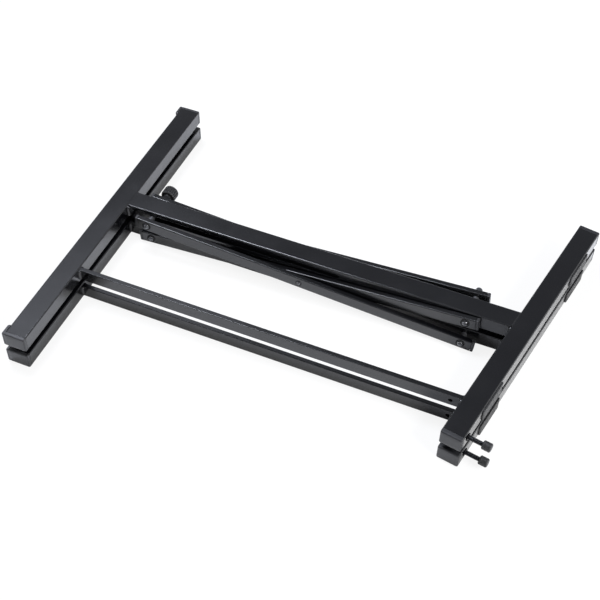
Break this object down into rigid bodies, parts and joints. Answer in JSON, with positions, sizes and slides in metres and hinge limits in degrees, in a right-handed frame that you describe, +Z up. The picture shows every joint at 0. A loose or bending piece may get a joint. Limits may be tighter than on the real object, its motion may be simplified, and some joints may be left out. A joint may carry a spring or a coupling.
{
  "type": "folding mixer stand",
  "caption": "Folding steel stand that holds a sloping mixer or similar desk: two tube frames joined by a scissor, shown folded flat.",
  "frame": {"origin": "middle of the bounding box on the ground, stand folded and lying flat", "axes": "+X along the columns from the feet to the support arms, +Y from the brace side to the knob side, +Z up through the flat stack"},
  "size_m": [0.7496, 0.5696, 0.0617],
  "materials": {
    "black_steel": "satin black powder coat",
    "bar_steel": "satin black powder coat",
    "cap_plastic": "moulded black plastic",
    "knob_plastic": "moulded black plastic",
    "pad_rubber": "matt black rubber",
    "black_zinc": "black zinc plate"
  },
  "bodies": {
    "lower_frame": {"lower_foot_tube": "black_steel", "lower_foot_caps": "cap_plastic", "lower_column_tube": "black_steel", "lower_arm_tube": "black_steel", "lower_arm_caps": "cap_plastic", "lower_arm_pads": "pad_rubber", "lower_brace": "black_steel", "lower_weld_beads": "black_steel", "lower_stop_insert": "black_zinc", "lower_pivot_bush": "black_zinc", "lower_pivot_bolt": "black_zinc", "lower_pivot_nut": "black_zinc", "lower_pivot_spacers": "black_zinc"},
    "upper_frame": {"upper_foot_tube": "black_steel", "upper_foot_caps": "cap_plastic", "upper_column_tube": "black_steel", "upper_arm_tube": "black_steel", "upper_arm_caps": "cap_plastic", "upper_arm_pads": "pad_rubber", "upper_brace": "black_steel", "upper_weld_beads": "black_steel", "upper_stop_insert": "black_zinc", "upper_pivot_bush": "black_zinc", "upper_pivot_bolt": "black_zinc", "upper_pivot_nut": "black_zinc", "upper_pivot_spacers": "black_zinc"},
    "first_bars": {"front_outer_bar": "bar_steel", "front_outer_bar_plugs": "cap_plastic", "rear_inner_bar": "bar_steel", "rear_inner_bar_plugs": "cap_plastic", "upper_slide_bolt": "black_zinc", "upper_slide_bush": "black_zinc", "upper_slide_spacers": "black_zinc", "front_centre_rivet": "black_zinc", "front_centre_washer": "black_zinc"},
    "second_bars": {"front_inner_bar": "bar_steel", "front_inner_bar_plugs": "cap_plastic", "rear_outer_bar": "bar_steel", "rear_outer_bar_plugs": "cap_plastic", "lower_slide_bolt": "black_zinc", "lower_slide_bush": "black_zinc", "lower_slide_nut": "black_zinc", "lower_slide_spacers": "black_zinc", "rear_centre_rivet": "black_zinc", "rear_centre_washer": "black_zinc"},
    "knob": {"clamp_knob": "knob_plastic"},
    "lower_stop": {"lower_stop_screw": "black_zinc", "lower_stop_tip": "pad_rubber"},
    "upper_stop": {"upper_stop_screw": "black_zinc", "upper_stop_tip": "pad_rubber"}
  },
  "joints": [
    {"name": "fold", "type": "hinge", "parent": "lower_frame", "child": "first_bars", "pos_m": [0.23423, 0.04275, 0.01275], "axis": [0, 1, 0], "range_deg": [0, 62.5]},
    {"name": "cross", "type": "hinge", "parent": "first_bars", "child": "second_bars", "pos_m": [-0.02977, 0.04275, 0.03085], "axis": [0, 1, 0], "range_deg": [-125, 0]},
    {"name": "upper_hinge", "type": "hinge", "parent": "second_bars", "child": "upper_frame", "pos_m": [0.23423, 0.04275, 0.04895], "axis": [0, 1, 0], "range_deg": [0, 62.5]},
    {"name": "knob_turn", "type": "hinge", "parent": "first_bars", "child": "knob", "pos_m": [-0.29377, 0.08275, 0.04895], "axis": [0, 1, 0], "continuous": true},
    {"name": "lower_stop_turn", "type": "hinge", "parent": "lower_frame", "child": "lower_stop", "pos_m": [0.30062, -0.17809, 0.01275], "axis": [0.9866, -0.1633, 0], "continuous": true},
    {"name": "upper_stop_turn", "type": "hinge", "parent": "upper_frame", "child": "upper_stop", "pos_m": [0.30062, -0.17809, 0.04895], "axis": [0.9866, -0.1633, 0], "continuous": true}
  ],
  "couplings": [
    {"joint": "cross", "follows": "fold", "ratio": -2},
    {"joint": "upper_hinge", "follows": "fold", "ratio": 1}
  ]
}
